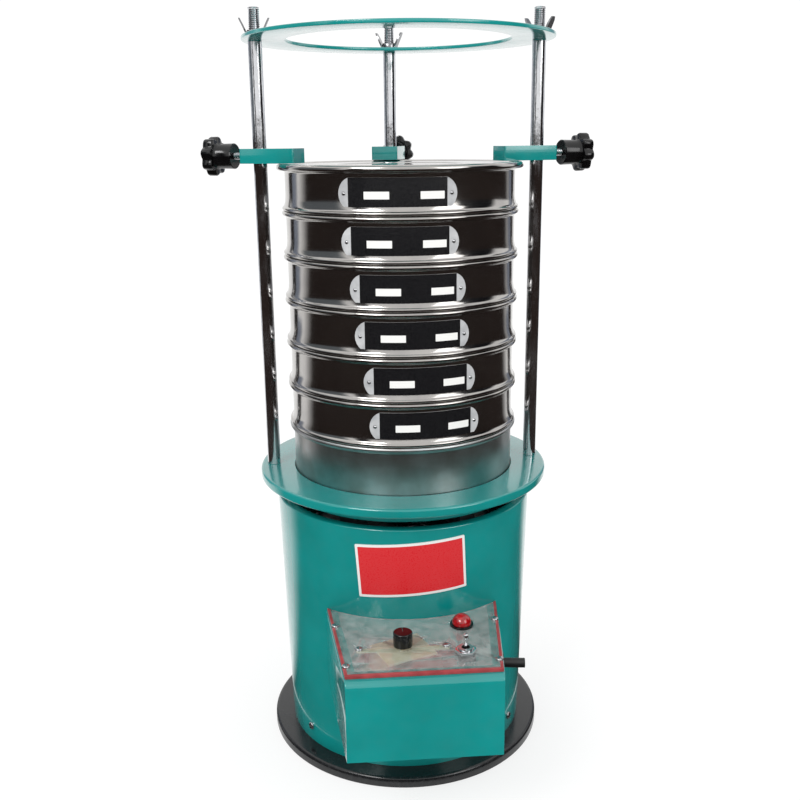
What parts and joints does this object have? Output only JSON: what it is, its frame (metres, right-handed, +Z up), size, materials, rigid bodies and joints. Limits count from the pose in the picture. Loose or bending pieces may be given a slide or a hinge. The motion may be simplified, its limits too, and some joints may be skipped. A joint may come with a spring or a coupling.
{
  "type": "sieve shaker",
  "caption": "Bench sieve shaker: a motor drum on springs carries a table with posts that clamp a stack of round test sieves under a lid.",
  "frame": {"origin": "centre of the base plate's underside, on the axis of the drum and the sieves", "axes": "+Z up along the sieves' axis, -Y towards the control box, +X to the operator's right"},
  "size_m": [0.3494, 0.3865, 0.671],
  "materials": {
    "base_enamel": "black gloss enamel on a steel plate",
    "green_enamel": "green gloss enamel on sheet steel",
    "green_casting": "green gloss enamel on a casting",
    "stainless_sheet": "spun stainless sheet, semi-bright",
    "sieve_cloth": "woven wire cloth",
    "chromed_steel": "bright chromium plate",
    "zinc_steel": "zinc plated steel",
    "spring_steel": "oiled spring steel",
    "motor_casting": "grey painted casting",
    "laminations": "varnished laminations and windings",
    "turned_steel": "turned steel",
    "black_plastic": "moulded phenolic",
    "clear_acrylic": "clear sheet, polished",
    "red_edging": "red edging",
    "red_lens": "red moulded lens",
    "beige_plastic": "moulded cream plastic",
    "brown_laminate": "phenolic laminate",
    "grey_can": "drawn aluminium can",
    "white_ceramic": "white moulded block",
    "black_rubber": "moulded rubber",
    "red_plate": "red enamelled plate with a white border"
  },
  "bodies": {
    "base": {"base_plate": "base_enamel", "casing": "green_enamel", "foot_screws": "zinc_steel", "spring_shelf": "green_enamel", "springs": "spring_steel", "control_box": "green_enamel", "clear_cover": "clear_acrylic", "cover_edging": "red_edging", "cover_screws": "zinc_steel", "timer_body": "beige_plastic", "timer_plates": "brown_laminate", "switch_body": "black_plastic", "switch_nut": "chromed_steel", "lamp_body": "black_plastic", "lamp_lens": "red_lens", "run_capacitor": "grey_can", "terminal_block": "white_ceramic", "cable_bush": "black_rubber", "label_plate": "red_plate"},
    "timer_knob": {"timer_knob": "black_plastic"},
    "switch_lever": {"switch_lever": "chromed_steel"},
    "table": {"table_plate": "green_casting", "posts": "chromed_steel", "post_nuts": "zinc_steel", "top_ring": "green_enamel", "motor_housing": "motor_casting", "motor_stator": "laminations", "motor_lower_bell": "motor_casting", "motor_bearings": "turned_steel", "motor_bolts": "zinc_steel"},
    "rotor": {"rotor_shaft": "turned_steel", "upper_weight": "turned_steel", "lower_weight": "turned_steel"},
    "left_clamp": {"left_clamp_arm": "green_casting"},
    "left_knob": {"left_clamp_knob": "black_plastic", "left_clamp_screw": "chromed_steel"},
    "left_nut": {"left_wing_nut": "zinc_steel"},
    "right_clamp": {"right_clamp_arm": "green_casting"},
    "right_knob": {"right_clamp_knob": "black_plastic", "right_clamp_screw": "chromed_steel"},
    "right_nut": {"right_wing_nut": "zinc_steel"},
    "rear_clamp": {"rear_clamp_arm": "green_casting"},
    "rear_knob": {"rear_clamp_knob": "black_plastic", "rear_clamp_screw": "chromed_steel"},
    "rear_nut": {"rear_wing_nut": "zinc_steel"},
    "pan": {"pan": "stainless_sheet"},
    "sieve_6": {"sieve_6_frame": "stainless_sheet", "sieve_6_cloth": "sieve_cloth"},
    "sieve_5": {"sieve_5_frame": "stainless_sheet", "sieve_5_cloth": "sieve_cloth"},
    "sieve_4": {"sieve_4_frame": "stainless_sheet", "sieve_4_cloth": "sieve_cloth"},
    "sieve_3": {"sieve_3_frame": "stainless_sheet", "sieve_3_cloth": "sieve_cloth"},
    "sieve_2": {"sieve_2_frame": "stainless_sheet", "sieve_2_cloth": "sieve_cloth"},
    "sieve_1": {"sieve_1_frame": "stainless_sheet", "sieve_1_cloth": "sieve_cloth"},
    "lid": {"lid": "stainless_sheet"}
  },
  "joints": [
    {"name": "table_bounce", "type": "slide", "parent": "base", "child": "table", "axis": [0, 0, 1], "range_m": [-0.004, 0.004], "stiffness_N_per_m": 40000, "springref_m": 0.00445, "deforming": ["springs"]},
    {"name": "rotor_spin", "type": "hinge", "parent": "table", "child": "rotor", "pos_m": [0, 0, 0.15], "axis": [0, 0, 1], "continuous": true},
    {"name": "timer_turn", "type": "hinge", "parent": "base", "child": "timer_knob", "pos_m": [-0.014, -0.165, 0.165], "axis": [0, 0, -1], "range_deg": [0, 300]},
    {"name": "switch_toggle", "type": "hinge", "parent": "base", "child": "switch_lever", "pos_m": [0.036, -0.178, 0.156], "axis": [1, 0, 0], "range_deg": [-12, 12]},
    {"name": "left_clamp_slide", "type": "slide", "parent": "table", "child": "left_clamp", "axis": [0, 0, 1], "range_m": [0, 0.085]},
    {"name": "left_knob_turn", "type": "hinge", "parent": "left_clamp", "child": "left_knob", "pos_m": [-0.14982, 0.01124, 0.54945], "axis": [-0.9272, 0.3746, 0], "range_deg": [0, 900]},
    {"name": "left_nut_turn", "type": "hinge", "parent": "table", "child": "left_nut", "pos_m": [-0.122, 0, 0.65], "axis": [0, 0, 1], "continuous": true},
    {"name": "right_clamp_slide", "type": "slide", "parent": "table", "child": "right_clamp", "axis": [0, 0, 1], "range_m": [0, 0.085]},
    {"name": "right_knob_turn", "type": "hinge", "parent": "right_clamp", "child": "right_knob", "pos_m": [0.15098, 0.00777, 0.54945], "axis": [0.9659, 0.2588, 0], "range_deg": [0, 900]},
    {"name": "right_nut_turn", "type": "hinge", "parent": "table", "child": "right_nut", "pos_m": [0.122, 0, 0.65], "axis": [0, 0, 1], "continuous": true},
    {"name": "rear_clamp_slide", "type": "slide", "parent": "table", "child": "rear_clamp", "axis": [0, 0, 1], "range_m": [0, 0.085]},
    {"name": "rear_knob_turn", "type": "hinge", "parent": "rear_clamp", "child": "rear_knob", "pos_m": [0.00675, 0.15123, 0.54945], "axis": [0.225, 0.9744, 0], "range_deg": [0, 900]},
    {"name": "rear_nut_turn", "type": "hinge", "parent": "table", "child": "rear_nut", "pos_m": [0, 0.122, 0.65], "axis": [0, 0, 1], "continuous": true},
    {"name": "pan_turn", "type": "hinge", "parent": "table", "child": "pan", "pos_m": [0, 0, 0.28], "axis": [0, 0, 1], "continuous": true},
    {"name": "sieve_6_turn", "type": "hinge", "parent": "pan", "child": "sieve_6", "pos_m": [0, 0, 0.3302], "axis": [0, 0, 1], "continuous": true},
    {"name": "sieve_5_turn", "type": "hinge", "parent": "sieve_6", "child": "sieve_5", "pos_m": [0, 0, 0.3686], "axis": [0, 0, 1], "continuous": true},
    {"name": "sieve_4_turn", "type": "hinge", "parent": "sieve_5", "child": "sieve_4", "pos_m": [0, 0, 0.407], "axis": [0, 0, 1], "continuous": true},
    {"name": "sieve_3_turn", "type": "hinge", "parent": "sieve_4", "child": "sieve_3", "pos_m": [0, 0, 0.4454], "axis": [0, 0, 1], "continuous": true},
    {"name": "sieve_2_turn", "type": "hinge", "parent": "sieve_3", "child": "sieve_2", "pos_m": [0, 0, 0.4838], "axis": [0, 0, 1], "continuous": true},
    {"name": "sieve_1_turn", "type": "hinge", "parent": "sieve_2", "child": "sieve_1", "pos_m": [0, 0, 0.5222], "axis": [0, 0, 1], "continuous": true},
    {"name": "lid_turn", "type": "hinge", "parent": "sieve_1", "child": "lid", "pos_m": [0, 0, 0.541], "axis": [0, 0, 1], "continuous": true}
  ]
}
